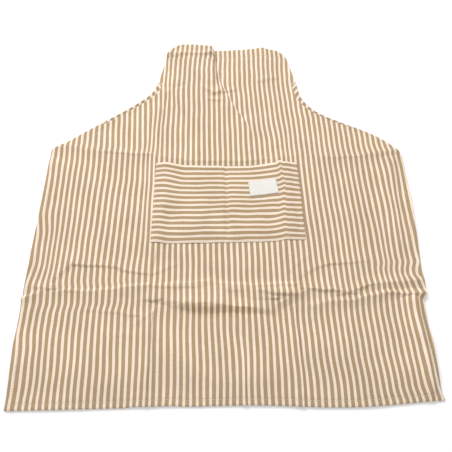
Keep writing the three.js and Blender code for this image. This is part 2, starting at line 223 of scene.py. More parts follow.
# Small creases on top of the folds, which the solids leave out.
CRINKLES = [
    Fold("top hem line", (-122, 407), (-16, 406), (6, 6), (14, 7)),
    Fold("top hem ramp", (-98, 442), (-62, 441), (3.5, 4), (10, 40)),
    Fold("upper line, left", (-324, 196), (-200, 178), (0.8, 1.4), (9, 3)),
    Fold("upper line, middle", (-200, 178), (-125, 167), (1.4, 1.0), (9, 3)),
    Fold("upper line, mouth", (-60, 160), (140, 153), (0.7, 0.5), (8, 3)),
    Fold("upper line, right", (200, 156), (280, 165), (0.5, 0.9), (9, 3)),
    Fold("upper line, far right", (280, 165), (344, 171), (1.0, 1.6), (10, 4)),
    Fold("bib crown", (-57, 360), (-60, 460), (0.5, 4), (50, 46)),
    Fold("bib line, left", (-36, 324), (-15, 313), (2, 4), (12, 5)),
    Fold("bib line, right", (-15, 313), (26, 321), (4, 2), (12, 5)),
    Fold("bib line, below", (-24, 298), (-4, 296), (2, 2), (9, 5)),
    Fold("bib line, far right", (80, 345), (116, 353), (2.2, 2), (10, 5)),
    Fold("tuck, low", (56, 238), (24, 281), (0.6, 1.2), (7, 3)),
    Fold("tuck, high", (24, 281), (2, 337), (1.2, 1.4), (7, 3)),
    Fold("crease lip, left", (-66, -108), (-24, -108), (2, 2.5), (12, 5)),
    Fold("crease lip, right", (-14, -109), (40, -117), (2, 1.5), (12, 4)),
    Fold("crease back line, left end", (-126, -74), (-100, -78), (1.2, 1.6), (12, 5)),
    Fold("crease back line, left", (-100, -78), (-44, -83), (1.6, 1.4), (12, 5)),
    Fold("crease back line, right", (-10, -84), (25, -85), (1.2, 1.0), (12, 5)),
    Fold("left bump, end", (-120, -57), (-80, -38), (1.4, 0.6), (10, 5)),
    Fold("left line", (-312, -75), (-255, -87), (1.8, 1.2), (14, 5)),
    Fold("skirt line, left", (-225, -112), (-145, -125), (1.0, 1.2), (12, 5)),
    Fold("skirt line, up", (-150, -135), (-115, -115), (1.2, 1.2), (5, 9)),
    Fold("skirt line, low", (-195, -152), (-120, -156), (0.9, 0.9), (8, 10)),
    Fold("skirt step", (-121, -145), (-121, -195), (1.0, 0.7), (10, 3)),
    Fold("right slant", (110, -55), (150, -25), (0.8, 0.5), (8, 8)),
    Fold("right arc", (185, 30), (235, 52), (0.6, 0.6), (9, 6)),
    Fold("left fold, left lip, low", (-126, 165), (-119, 270), (2, 2.6), (16, 5)),
    Fold("left fold, right lip, low", (-117, 165), (-110, 270), (2, 2.6), (5, 16)),
    Fold("left fold, left lip, high", (-119, 270), (-113, 318), (2.6, 2), (16, 5)),
    Fold("left fold, right lip, high", (-110, 270), (-104, 318), (2.6, 2), (5, 16)),
    Fold("right fold line", (106, 170), (104, 235), (1.4, 0.8), (6, 3)),
]
CRINKLE_FADE = 12

# Waves of the loose cloth: size across and height, from broad to fine.
WAVES = [(70, 0.9), (28, 0.45), (9, 0.1)]
WAVE_SEED = 11

# Cells of noise before it repeats.
NOISE_CELLS = 64

# The skirt is raised between two places up it: where that starts and ends, over what distances, and how high.
SKIRT_SLOPE = {"low": -268, "low_over": 55, "high": -125, "high_over": 80, "rise": 4.5}

# Stripes that are drawn towards a fold from its left and right: how near to it that ends, how far to its left
# and right it is felt, and stations up it with how far up and across the apron they are and how far the
# stripes on each side move.
Pull = namedtuple("Pull", "name near reach stations")
PULLS = [
    Pull("left fold", 28, (150, 120), [
        (-40, -128, 0, 0), (60, -128, 4.5, 0.5), (120, -127, 6, 1), (190, -126, 6, 1), (260, -114, 3, 1),
        (340, -98, 0, 0)]),
    Pull("right fold", 36, (120, 240), [
        (10, 106, 0, 0), (100, 106, 0, 2.5), (170, 106, 0, 3.5), (200, 106, 0, 3.5), (250, 106, 0, 0)]),
    Pull("right skirt fold", 3, (60, 40), [
        (-266, 112, 1, 0.5), (-200, 112, 1.4, 1), (-130, 112, 1, 0.5), (-112, 112, 0, 0)]),
    Pull("left skirt fold", 3, (50, 40), [
        (-262, -123, 0, 1), (-170, -122, 1.5, 2), (-130, -122, 1, 1), (-112, -122, 0, 0)]),
    Pull("bib fold", 3, (50, 50), [
        (160, -122, 0, 0), (185, -121, 1.5, 1), (270, -116, 1.5, 1), (315, -106, 1.2, 0.6),
        (335, -102, 0, 0)]),
    Pull("right side", 10, (45, 30), [
        (-58, 280, 0, 0), (-46, 280, 2.5, 0.5), (-36, 280, 2.6, 1.5), (-10, 280, 2, 1), (20, 280, 1.3, 0),
        (60, 280, 0, 0)]),
    Pull("hem crease", 2, (30, 30), [
        (-268, 27, 1.5, 0.5), (-200, 26, 1.5, 0.5), (-158, 25, 0, 0)]),
    Pull("bib tuck", 2, (300, 500), [
        (205, 62, 0, 0), (240, 50, 0, 2.5), (281, 26, 0, 3.5), (337, 2, 0, 4.5), (365, -4, 1, 3),
        (400, -8, 3.5, 1.5), (440, -12, 4, 1)]),
]

# A pull or a drift grows this many times as fast as the way in from its border, and then stays full.
PULL_EASE = 1.5

# Patches where the stripes lie aside: the middle, half the size across and up, and how far to the right they
# lie.
Drift = namedtuple("Drift", "name at half aside")
DRIFTS = [
    Drift("left skirt, low", (-240, -258), (170, 115), 4),
    Drift("left edge, low", (-325, -200), (55, 60), 3),
    Drift("middle skirt, low", (-50, -258), (85, 115), 2.4),
    Drift("left line", (-230, -92), (120, 28), 2.5),
    Drift("left edge", (-335, -10), (55, 70), 7),
    Drift("left skirt, high", (-225, 35), (75, 90), -1.8),
    Drift("left of the pocket", (-138, 60), (22, 110), 1.7),
    Drift("middle skirt, right", (45, -150), (55, 90), 1.2),
    Drift("right skirt", (225, -165), (150, 75), -2.7),
    Drift("right skirt, low", (310, -270), (110, 30), 3),
    Drift("right fold", (305, -69), (50, 26), -4),
    Drift("right fold, edge", (345, -90), (60, 24), 4),
    Drift("right side, high", (325, 90), (75, 110), 2.7),
]

# The right side stands up a little, which crowds its stripes: places up the apron, and how far in they lie.
# They crowd between two distances from the edge.
EDGE_SQUEEZE = [
    (-262, 0), (-225, 3.2), (-125, 3.8), (-95, 3.5), (-70, 3), (-50, 0.5), (10, 1), (35, 3.5), (55, 4.8),
    (75, 4.2), (92, 2.4), (112, 1.2), (150, 0),
]
SQUEEZE = {"from": 45, "to": 21}

# The weave is a little uneven: distances, and about how far the stripes wander over them.
STRIPE_WANDERS = [(120, 2.2), (42, 1.1)]
POCKET_WANDER = (34, 1.6)
WANDER_SEED = 29

# The bib takes up width where it goes over its hump: from where and in full from where up the apron, the
# share that its left edge gives, and the least share of a step's square that is left.
TAKE_UP_FROM = 200
TAKE_UP_FULL = 250
TAKE_UP_LEFT_SHARE = 0.4
LEAST_STEP_SHARE = 1 / 9

# The pocket: where its edges are across the apron at its bottom and its mouth, its middle seam, how wide it
# is sewn flat, over what distance it swells from there, and how far it stands off.
POCKET = {"left": (-130, -128.5), "right": (140, 135), "middle": 5, "seam": 6, "flank": 16, "room": 2}
MIDDLE_SEAM = {"half": 1, "flank": 5}

# Where the pocket starts and ends along the side edge, as shares of it, its cut height, how far up its first
# pale stripe is, its points, how far in its stitches are, its gap to the panel, and its turned edges.
POCKET_BOTTOM = 0.5825
POCKET_MOUTH = 0.933
POCKET_CUT = 154
FIRST_STRIPE = 2
POCKET_COLUMNS = 96
POCKET_ROWS = 60
POCKET_STITCH = 2.5
POCKET_GAP = 0.3
POCKET_ROUND = {"drop": 0.4, "over": 0.7}

# The hem of the pocket's mouth: how deep it is, how far it lifts the cloth and over what distance, and how
# far its stitches sink and over what half width.
MOUTH = {"hem": 10, "lift": 0.3, "ease": 3, "groove": 0.35, "half": 1.2}

# The label: its middle on the apron, its size, the turn that it was sewn on with, in degrees, its thickness,
# its gap to the pocket, and how far in its stitches are.
LABEL = {"x": 72, "y": 98, "width": 51, "height": 29, "turn": 5, "thick": 0.8, "gap": 0.4, "stitch": 1.8}
LABEL_ROUND = {"drop": 0.3, "over": 0.5}
LABEL_GROOVE = {"depth": 0.25, "half": 0.9}
LABEL_COLUMNS = 40
LABEL_ROWS = 24

# The cloth's own coordinates at the apron's own origin.
CLOTH_MIDDLE = 0.5

# Most that a wall's upright thickness grows on a slope, and how far a folded edge stands out.
STEEPEST = 1.8
EDGE_ROUND = 0.5

# In metres: the shortest length that is divided by, and the height that the cloth is looked for from.
LEAST_LENGTH = 1e-9
LOOK_DOWN_FROM = 1.0

# Stitches: how far the middle of a thread is above the cloth, as a share of its width, how far a stitch may
# turn, and the points of the ball that is drawn out to a stitch.
STITCH_RISE = 0.25
STITCH_TURN = 0.05
STITCH_BALL = {"Segments": 6, "Rings": 5, "Radius": 1.0}

# Soft edges of a stripe, as a share of the repeat, how far they wander, in metres, how many times a metre
# they, the yarn, the shade and a thread's fibres change, and how many layers of detail the noise has.
STRIPE_SOFTNESS = 0.03
EDGE_WANDER = 0.0003
EDGE_SCALE = 90.0
YARN_SCALE = {"across": 1400.0, "along": 60.0}
CLOUD_SCALE = 22.0
FIBRE_SCALE = 900.0
FINE_DETAIL = 2.0
CLOUD_DETAIL = 4.0

# In the hollow of the fold across the skirt, painted shade darkens and warms the tan, and painted bounced
# light lightens and warms the pale: the middle of the hollow on the apron, half its size, how far it rises to
# the right, how ragged its border is and how many times a metre, and where it fades.
HOLLOW = {
    "at": (-9, -120), "half": (70, 10.5), "lean": -0.07, "ragged": 0.8, "scale": 110.0, "fade": (0.6, 1.1),
}
# The hollow's colours: the tan in painted shade and the pale in painted bounced light.
PAINTED_SHADE_TAN = (0.41, 0.262, 0.122, 1.0)
PAINTED_LIGHT_PALE = (0.94, 0.80, 0.665, 1.0)

# The part of a noise's values that is used, and what it turns into: shade and roughness from low to high.
NOISE_RANGE = (0.3, 0.7)
CLOTH_LOOK = {
    "yarn": (0.9, 1.08), "cloud": (0.95, 1.04), "rough": (0.95, 0.82), "bump": 0.35, "depth": 0.0002,
}
LABEL_LOOK = {"yarn": (0.94, 1.03), "rough": (0.7, 0.5), "bump": 0.25, "depth": 0.0001}
THREAD_LOOK = {"yarn": (0.85, 1.05), "rough": (0.75, 0.55)}
CLOTH_GLOSS = {"Specular IOR Level": 0.25, "Sheen Weight": 0.08, "Sheen Roughness": 0.5}

# The stage, in metres: the floor's half width, how far it is below the frame's origin, and the lamp's place
# and size.
FLOOR = {"half": 6.0, "below": 0.0003, "rough": 0.9}
LAMP = {"at": (-0.6, 1.7, 1.5), "width": 2.0, "height": 1.0}
SENSOR_WIDTH = 36.0

# The camera, in the apron's own millimetres and radians, for a square picture.
CAMERA_AT = (-12.71, -198.03, 604.76)
CAMERA_TURN = {"yaw": -0.065957, "pitch": 0.356275, "roll": 0.042249}


def length(name, about, default, low, high):
    """A setting in metres."""
    return FloatProperty(name=name, description=about, default=default, min=low, max=high, unit="LENGTH")


def colour(name, about, red, green, blue):
    """A setting that is a colour."""
    return FloatVectorProperty(
        name=name, description=about, default=(red, green, blue, 1.0), size=4, min=0, max=1, subtype="COLOR")


class ApronCloth(PropertyGroup):
    """The woven cloth of the panel and the pocket."""

    thickness: length("Thickness", "Thickness of one layer of cloth", 0.0012, 0.0005, 0.003)
    stripe_repeat: length(
        "Stripe repeat", "From the middle of one pale stripe to the next", 0.010, 0.002, 0.05)
    pale_width: length("Pale stripe", "Width of a pale stripe", 0.0042, 0.001, 0.04)
    thread_spacing: length(
        "Thread spacing", "From one thread of the weave to the next", 0.0006, 0.0002, 0.002)
    tan: colour("Tan stripe", "Colour of the dyed threads", 0.405, 0.280, 0.162)
    pale: colour("Pale stripe colour", "Colour of the undyed threads", 0.82, 0.70, 0.575)
    label: colour("Label colour", "Colour of the woven label", 0.71, 0.69, 0.645)


class ApronSewing(PropertyGroup):
    """The seams' thread and stitches."""

    stitch_length: length("Stitch length", "Length of one stitch", 0.0029, 0.001, 0.01)
    stitch_gap: length("Stitch gap", "Gap between two stitches", 0.0009, 0.0002, 0.005)
    thread_width: length("Thread width", "Width of the sewing thread", 0.0006, 0.0002, 0.002)
    seed: IntProperty(
        name="Seed", description="Seed of the small differences between stitches", default=4, min=0)
    thread: colour(
        "Thread colour", "Colour of the thread in the bottom and top hems, the pocket and the label",
        0.80, 0.70, 0.55)
    edge_thread: colour(
        "Edge thread colour", "Colour of the thread in the hems of the sides and armholes", 0.50, 0.37, 0.24)


class ApronStage(PropertyGroup):
    """The floor, the light and the camera."""

    floor: colour("Floor colour", "Colour of the plain floor", 0.97, 0.97, 0.97)
    fill: FloatProperty(
        name="Fill light", description="Strength of the light from all around", default=0.74, min=0)
    key: FloatProperty(
        name="Key light", description="Power of the soft lamp on the bib's side",
        default=49.0, min=0, unit="POWER")
    lens: FloatProperty(
        name="Lens", description="Focal length of the camera, in millimetres", default=29.0, min=10, max=200)


def smooth(value):
    """Goes from 0 to 1 with soft ends while value does."""
    part = np.clip(value, 0, 1)
    return part * part * (3 - 2 * part)


def bell(away, half):
    """A soft bump, 1 in its middle."""
    return np.exp(-(away / half) ** 2)


def from_table(table, up):
    """Values between those of a table of places up the apron."""
    return np.interp(up, *np.array(table, float).T)


def noise(x, y, size, seed):
    """Soft noise between about -0.7 and 0.7, in cells of the given size."""
    angles = np.random.default_rng(seed).uniform(0, math.tau, (NOISE_CELLS, NOISE_CELLS))
    column, row = np.floor(x / size).astype(int), np.floor(y / size).astype(int)
    across, up = x / size - column, y / size - row
    total = np.zeros_like(across)
    for right in (0, 1):
        for top in (0, 1):
            angle = angles[(column + right) % NOISE_CELLS, (row + top) % NOISE_CELLS]
            slope = np.cos(angle) * (across - right) + np.sin(angle) * (up - top)
            weight = smooth(across if right else 1 - across) * smooth(up if top else 1 - up)
            total += weight * slope
    return total


def crease_profile(within):
    """A sharp crest with hollow flanks."""
    return within ** CREASE_POWER


def swell_profile(within):
    """A flat crest with short soft flanks."""
    return smooth(within * SWELL_FLANK)


def fold_share(fold, profile, fade, x, y):
    """How much of a fold stands at each place, from 1 on its crest to 0, and its height and draw there."""
    along = np.subtract(fold.end, fold.start).astype(float)
    length = np.hypot(*along)
    along /= length
    run = (x - fold.start[0]) * along[0] + (y - fold.start[1]) * along[1]
    side = (y - fold.start[1]) * along[0] - (x - fold.start[0]) * along[1]
    beyond = np.maximum(0, np.maximum(-run, run - length))
    within = np.clip(1 - np.abs(side) / np.where(side > 0, *fold.reach), 0, 1)
    part = np.clip(run / length, 0, 1)
    crest = fold.rise[0] + (fold.rise[1] - fold.rise[0]) * part
    draw = fold.draw[0] + (fold.draw[1] - fold.draw[0]) * part
    return profile(within) * smooth(1 - beyond / fade), crest, draw


def waver(x, y):
    """The places on straight crests that belong to places on the wavering ones."""
    free = smooth((WAVER_ENDS["at"] - np.abs(x)) / WAVER_ENDS["over"])
    for number, (size, sway) in enumerate(WAVERS):
        across = sway * noise(x, y, size, WAVER_SEED + 2 * number)
        along = sway * noise(x, y, size, WAVER_SEED + 2 * number + 1)
        x, y = x + free * across, y + free * along
    return x, y


def folds_at(x, y):
    """The height of the folds above the floor, and how far they draw the cloth up or down the apron."""
    height, up, down = np.zeros_like(x), np.zeros_like(x), np.zeros_like(x)
    x, y = waver(x, y)
    for folds, profile in ((CREASES, crease_profile), (ROLLS, smooth), (SWELLS, swell_profile)):
        for fold in folds:
            share, crest, draw = fold_share(fold, profile, FADE, x, y)
            height = np.maximum(height, share * crest)
            up = np.maximum(up, share * draw)
            down = np.minimum(down, share * draw)
    return height, up + down


def crinkles_at(x, y):
    """The height of the small creases and waves on top of the folds."""
    height = np.zeros_like(x)
    crest_x, crest_y = waver(x, y)
    for crinkle in CRINKLES:
        share, crest, _ = fold_share(crinkle, crease_profile, CRINKLE_FADE, crest_x, crest_y)
        height = np.maximum(height, share * crest)
    for number, (size, depth) in enumerate(WAVES):
        height += depth * (0.5 + noise(x, y, size, WAVE_SEED + number))
    rising = smooth((y - SKIRT_SLOPE["low"]) / SKIRT_SLOPE["low_over"])
    falling = smooth((SKIRT_SLOPE["high"] - y) / SKIRT_SLOPE["high_over"])
    return height + SKIRT_SLOPE["rise"] * rising * falling


def stripe_shift(x, y, right_edge):
    """How far to the right of its even place each bit of cloth lies."""
    shift = sum(sway * noise(x, y, size, WANDER_SEED + size) for size, sway in STRIPE_WANDERS)
    for pull in PULLS:
        up, across, left, right = np.array(pull.stations, float).T
        off = x - np.interp(y, up, across)
        away = np.abs(off)
        felt = smooth(away / pull.near) * smooth(PULL_EASE * (1 - away / np.where(off < 0, *pull.reach)))
        shift += felt * np.where(off < 0, np.interp(y, up, left), -np.interp(y, up, right))
    for drift in DRIFTS:
        away_x, away_y = np.abs(x - drift.at[0]) / drift.half[0], np.abs(y - drift.at[1]) / drift.half[1]
        shift += drift.aside * smooth(PULL_EASE * (1 - away_x)) * smooth(PULL_EASE * (1 - away_y))
    crowded = smooth((SQUEEZE["from"] - right_edge + x) / (SQUEEZE["from"] - SQUEEZE["to"]))
    return shift - from_table(EDGE_SQUEEZE, y) * crowded


def edge_points(points, at):
    """The points of an edge of the cut, at shares of the way along it."""
    at = np.asarray(at, float)[:, None]
    start, first, second, end = np.array(points, float)
    back = 1 - at
    return start * back**3 + first * 3 * back**2 * at + second * 3 * back * at**2 + end * at**3


def bib_edge():
    """Shares of the way along the bib's edge, and how far below its top they are."""
    at = np.linspace(0, 1, EDGE_SAMPLES)
    up = edge_points(EDGES["left"]["bib"], at)[:, 1]
    return at, up[-1] - up


def panel_stations():
    """One station a row, with how far in it is from the bottom or top edge."""
    stations = [Station("side", line / SIDE_LENGTH, line) for line in (*HEM_LINES, HEM_INSIDE)]
    start = {"side": HEM_INSIDE / SIDE_LENGTH, "armhole": 0.0, "bib": 0.0}
    bib_at, below_top = bib_edge()
    for edge, end, rows in ROW_BANDS:
        for at in np.linspace(start[edge], end, rows + 1)[1:]:
            from_bottom = at * SIDE_LENGTH if edge == "side" else SIDE_LENGTH
            from_top = np.interp(at, bib_at, below_top) / TOP_HEM_TIMES if edge == "bib" else SIDE_LENGTH
            stations.append(Station(edge, at, min(from_bottom, from_top)))
        start[edge] = end
    for line in reversed(TOP_HEM_LINES):
        stations.append(Station("bib", np.interp(-line * TOP_HEM_TIMES, -below_top, bib_at), line))
    return stations


def row_ends(stations):
    """The left and right ends of each row."""
    ends = []
    for side in ("left", "right"):
        points = np.array([edge_points(EDGES[side][edge], [at])[0] for edge, at, _ in stations])
        points[:, 0] += from_table(EDGE_WAVES[side], points[:, 1])
        ends.append(points)
    return ends


def column_places():
    """The places of the columns between the side hems, across the skirt."""
    places = [float(INSIDE_LEFT)]
    for end, columns in COLUMN_BANDS:
        places.extend(np.linspace(places[-1], end, columns + 1)[1:])
    return np.array(places)


def row_columns(left, right, places):
    """Where the columns between the side hems lie across each row, drawn together where the apron narrows."""
    middle = (INSIDE_LEFT + INSIDE_RIGHT) / 2
    left_pull = np.clip((middle - places) / (middle - INSIDE_LEFT), 0, 1)
    right_pull = np.clip((places - middle) / (INSIDE_RIGHT - middle), 0, 1)
    inner_left = left[:, :1] + HEM_INSIDE - INSIDE_LEFT
    inner_right = right[:, :1] - HEM_INSIDE - INSIDE_RIGHT
    return places + left_pull * inner_left + right_pull * inner_right


def way_along(points):
    """How far along an edge each of its points is."""
    steps = np.hypot(*np.diff(points, axis=0).T)
    return np.concatenate([[0], np.cumsum(steps)])[:, None]


def row_heights(x, left, right):
    """How far up the apron each place of a row is, on the line between the row's ends."""
    slope = (right[:, 1:] - left[:, 1:]) / (right[:, :1] - left[:, :1])
    return left[:, 1:] + (x - left[:, :1]) * slope


def take_up(x, y, height):
    """The places across each row once the bib's folds have taken up their width."""
    step, climb = np.diff(x, axis=1), np.diff(height, axis=1)
    share = smooth((y[:, 1:] - TAKE_UP_FROM) / (TAKE_UP_FULL - TAKE_UP_FROM))
    laid_step = np.sqrt(np.maximum(step**2 - share * climb**2, step**2 * LEAST_STEP_SHARE))
    laid = np.concatenate([np.zeros((len(x), 1)), np.cumsum(laid_step, axis=1)], axis=1)
    spare = x[:, -1:] - x[:, :1] - laid[:, -1:]
    return x[:, :1] + spare * TAKE_UP_LEFT_SHARE + laid


def slant(x, y, height):
    """How much thicker a wall is measured upright than across, over a grid."""
    rise_x = np.gradient(height, axis=1) / np.gradient(x, axis=1)
    rise_y = np.gradient(height, axis=0) / np.gradient(y, axis=0)
    return np.minimum(STEEPEST, np.sqrt(1 + rise_x**2 + rise_y**2))


def hem_shape(side, along):
    """How deep the stitches of an edge's hem sink along it, and how high it rolls up outside them."""
    depth, roll = np.full_like(along, GROOVE["depth"]), np.zeros_like(along)
    for name, low, high, deep, raised in GROOVES:
        if name == side:
            share = smooth((along - low) / GROOVE_FADE) * smooth((high - along) / GROOVE_FADE)
            depth, roll = np.maximum(depth, deep * share), np.maximum(roll, raised * share)
    return np.stack([depth, roll])


def panel_layout(thickness):
    """The laid panel: its grid of places, the heights of both faces, and the cloth's own coordinates."""
    stations = panel_stations()
    left, right = row_ends(stations)
    places = column_places()
    lines = np.array(HEM_LINES)
    flat_x = np.concatenate(
        [left[:, :1] + lines, row_columns(left, right, places), right[:, :1] - lines[::-1]], axis=1)
    flat_y = row_heights(flat_x, left, right)
    folds, draw = folds_at(flat_x, flat_y)
    x = take_up(flat_x, flat_y, folds)
    y = flat_y + draw
    lie = folds + crinkles_at(flat_x, flat_y)

    # The hems: two layers, with the panel easing down to one behind them.
    from_side = np.minimum(flat_x - flat_x[:, :1], flat_x[:, -1:] - flat_x)
    from_end = np.array([station.inward for station in stations])[:, None] + 0 * flat_x
    inward = np.minimum(from_side, from_end)
    on_left = flat_x < (flat_x[:, :1] + flat_x[:, -1:]) / 2
    side_shape = np.where(on_left, hem_shape("left", flat_y), hem_shape("right", flat_y))
    end_shape = np.where(flat_y > 0, hem_shape("top", flat_x), hem_shape("bottom", flat_x))
    depth, roll = np.where(from_side <= from_end, side_shape, end_shape)
    lift = HEM_LIFT * smooth(1 - (inward - HEM_WIDTH) / HEM_EASE)
    groove = depth * bell(inward - HEM_STITCH, GROOVE["half"])
    raised = roll * bell(inward - HEM_ROLL["at"], HEM_ROLL["half"])
    armhole = np.array([station.edge == "armhole" for station in stations])[:, None]
    from_armhole_end = np.array([min(station.at, 1 - station.at) for station in stations])[:, None]
    curled = armhole * smooth(from_armhole_end / ARMHOLE_ROUND["fade"])
    drop = HEM_ROUND["drop"] * np.exp(-inward / HEM_ROUND["over"])
    drop += curled * (ARMHOLE_ROUND["drop"] * np.exp(-inward / ARMHOLE_ROUND["over"]) - drop)
    under = lie + np.where(inward < HEM_WIDTH, 0, lift)
    top = lie + lift + raised - groove - drop + thickness * slant(x, y, lie)

    # The cloth's own coordinates, along and across the slant in the armholes' hems.
    cloth_u = flat_x - stripe_shift(flat_x, flat_y, flat_x[:, -1:])
    along = np.where(on_left, way_along(left), way_along(right))
    bias_from = np.where(on_left, BIAS_FROM["left"], BIAS_FROM["right"])
    on_bias = armhole & (from_side < HEM_WIDTH) & (flat_y > bias_from)
    cloth_u = np.where(on_bias, BIAS * (along + from_side), cloth_u)
    return {"x": x, "y": y, "under": under, "top": top, "u": cloth_u, "v": flat_y}


def pocket_layout(thickness):
    """The pocket laid on the panel: sewn down at its sides, bottom and middle, and open along its top."""
    stations = [Station("side", at, 0) for at in np.linspace(POCKET_BOTTOM, POCKET_MOUTH, POCKET_ROWS + 1)]
    left, right = row_ends(stations)
    left_edge = np.linspace(*POCKET["left"], POCKET_ROWS + 1)[:, None]
    right_edge = np.linspace(*POCKET["right"], POCKET_ROWS + 1)[:, None]
    places = left_edge + (right_edge - left_edge) * np.linspace(0, 1, POCKET_COLUMNS + 1)
    flat_x = row_columns(left, right, places)
    flat_y = row_heights(flat_x, left, right)
    folds, draw = folds_at(flat_x, flat_y)
    x, y = flat_x, flat_y + draw
    lie = folds + crinkles_at(flat_x, flat_y)
    panel_top = lie + thickness * slant(x, y, lie)

    edge = np.minimum(places - left_edge, right_edge - places)
    from_side = edge - POCKET["seam"]
    from_middle = np.abs(places - POCKET["middle"]) - MIDDLE_SEAM["half"]
    up = flat_y - flat_y[:1]
    across = smooth(from_side / POCKET["flank"]) * smooth(from_middle / MIDDLE_SEAM["flank"])
    swell = across * smooth((up - POCKET["seam"]) / POCKET["flank"])
    under = panel_top + POCKET_GAP + POCKET["room"] * swell

    # Its edges are turned under, and its mouth has a stitched hem.
    down = flat_y[-1:] - flat_y
    inward = np.minimum(np.minimum(edge + 0 * up, up), down)
    drop = POCKET_ROUND["drop"] * np.exp(-inward / POCKET_ROUND["over"])
    hem = MOUTH["lift"] * smooth((MOUTH["hem"] + MOUTH["ease"] - down) / MOUTH["ease"])
    groove = MOUTH["groove"] * bell(down - MOUTH["hem"], MOUTH["half"])
    top = under + thickness * slant(x, y, under) + hem - groove - drop
    wander = POCKET_WANDER[1] * noise(flat_x, flat_y, POCKET_WANDER[0], WANDER_SEED)
    cloth_v = up / (up + down) * POCKET_CUT - FIRST_STRIPE + wander
    return {"x": x, "y": y, "under": under, "top": top, "u": flat_x, "v": cloth_v}


def label_layout(pocket_tree):
    """The label, turned a little, lying on the pocket under it."""
    turn = math.radians(LABEL["turn"])
    across, up = np.meshgrid(
        np.linspace(-0.5, 0.5, LABEL_COLUMNS + 1) * LABEL["width"],
        np.linspace(-0.5, 0.5, LABEL_ROWS + 1) * LABEL["height"])
    x = LABEL["x"] + across * math.cos(turn) - up * math.sin(turn)
    y = LABEL["y"] + across * math.sin(turn) + up * math.cos(turn)
    under = height_on(pocket_tree, x, y) + LABEL["gap"]
    from_end = LABEL["width"] / 2 - np.abs(across)
    from_edge = np.minimum(from_end, LABEL["height"] / 2 - np.abs(up))
    sewn = LABEL_GROOVE["depth"] * bell(from_edge - LABEL["stitch"], LABEL_GROOVE["half"])
    top = under + LABEL["thick"] - sewn - LABEL_ROUND["drop"] * np.exp(-from_edge / LABEL_ROUND["over"])
    return {"x": x, "y": y, "under": under, "top": top, "u": across, "v": up}


def height_on(tree, x, y):
    """The height of a laid piece at each place, in millimetres, found from above."""
    heights = np.empty_like(x)
    for place in np.ndindex(x.shape):
        at = ((x[place] + APRON_AT[0]) * MM, (y[place] + APRON_AT[1]) * MM, LOOK_DOWN_FROM)
        hit = tree.ray_cast(at, (0, 0, -1))[0]
        if hit is None:
            raise RuntimeError(f"no cloth under {x[place]:.1f}, {y[place]:.1f}")
        heights[place] = hit.z / MM
    return heights


def to_frame(x, y, z):
    """Places on the apron, in millimetres, as points in the frame, in metres."""
    return np.stack([x + APRON_AT[0], y + APRON_AT[1], z], axis=-1) * MM


def border(rows, columns):
    """The places round the outside of a grid, in order, seen from above against the clock."""
    bottom = [(0, column) for column in range(columns - 1)]
    right = [(row, columns - 1) for row in range(rows - 1)]
    top = [(rows - 1, column) for column in range(columns - 1, 0, -1)]
    left = [(row, 0) for row in range(rows - 1, 0, -1)]
    return bottom + right + top + left


def cloth_mesh(name, layout):
    """A closed wall of cloth from the grids of its two faces, with a rounded edge and its own coordinates."""
    rows, columns = layout["x"].shape
    count = rows * columns
    upper = to_frame(layout["x"], layout["y"], layout["top"]).reshape(-1, 3)
    lower = to_frame(layout["x"], layout["y"], layout["under"]).reshape(-1, 3)
    ring = np.array([row * columns + column for row, column in border(rows, columns)])
    along = np.roll(upper[ring], -1, axis=0) - np.roll(upper[ring], 1, axis=0)
    out = np.stack([along[:, 1], -along[:, 0]], axis=1)
    out /= np.maximum(np.linalg.norm(out, axis=1, keepdims=True), LEAST_LENGTH)
    edge = (upper[ring] + lower[ring]) / 2
    edge[:, :2] += out * EDGE_ROUND * MM

    corner = np.arange(count).reshape(rows, columns)
    cells = np.stack(
        [corner[:-1, :-1], corner[:-1, 1:], corner[1:, 1:], corner[1:, :-1]], axis=-1).reshape(-1, 4)
    middle = 2 * count + np.arange(len(ring))
    after = np.roll(middle, -1)
    next_ring = np.roll(ring, -1)
    rim_top = np.stack([middle, after, next_ring, ring], axis=1)
    rim_bottom = np.stack([ring + count, next_ring + count, after, middle], axis=1)
    faces = np.concatenate([cells, cells[:, ::-1] + count, rim_top, rim_bottom])

    mesh = bpy.data.meshes.new(name)
    mesh.from_pydata(np.concatenate([upper, lower, edge]).tolist(), [], faces.tolist())
    coordinates = np.stack([layout["u"], layout["v"]], axis=-1).reshape(-1, 2) * MM + CLOTH_MIDDLE
    coordinates = np.concatenate([coordinates, coordinates, coordinates[ring]])
    loops = np.empty(len(mesh.loops), int)
    mesh.loops.foreach_get("vertex_index", loops)
    uv = mesh.uv_layers.new(name="cloth")
    uv.uv.foreach_set("vector", coordinates[loops].astype(np.float32).ravel())
    mesh.polygons.foreach_set("use_smooth", [True] * len(mesh.polygons))
    mesh.validate()
    return mesh


def add_object(name, data):
    """Puts a mesh, a lamp or a camera into the scene."""
    item = bpy.data.objects.new(name, data)
    bpy.context.scene.collection.objects.link(item)
    return item


def add_piece(name, mesh, material):
    """Puts a mesh into the scene as a piece with one material."""
    mesh.materials.clear()
    mesh.materials.append(material)
    return add_object(name, mesh)


def tree_of(piece):
    """A search tree of a piece's faces."""
    corners = [vertex.co for vertex in piece.data.vertices]
    return BVHTree.FromPolygons(corners, [polygon.vertices[:] for polygon in piece.data.polygons])


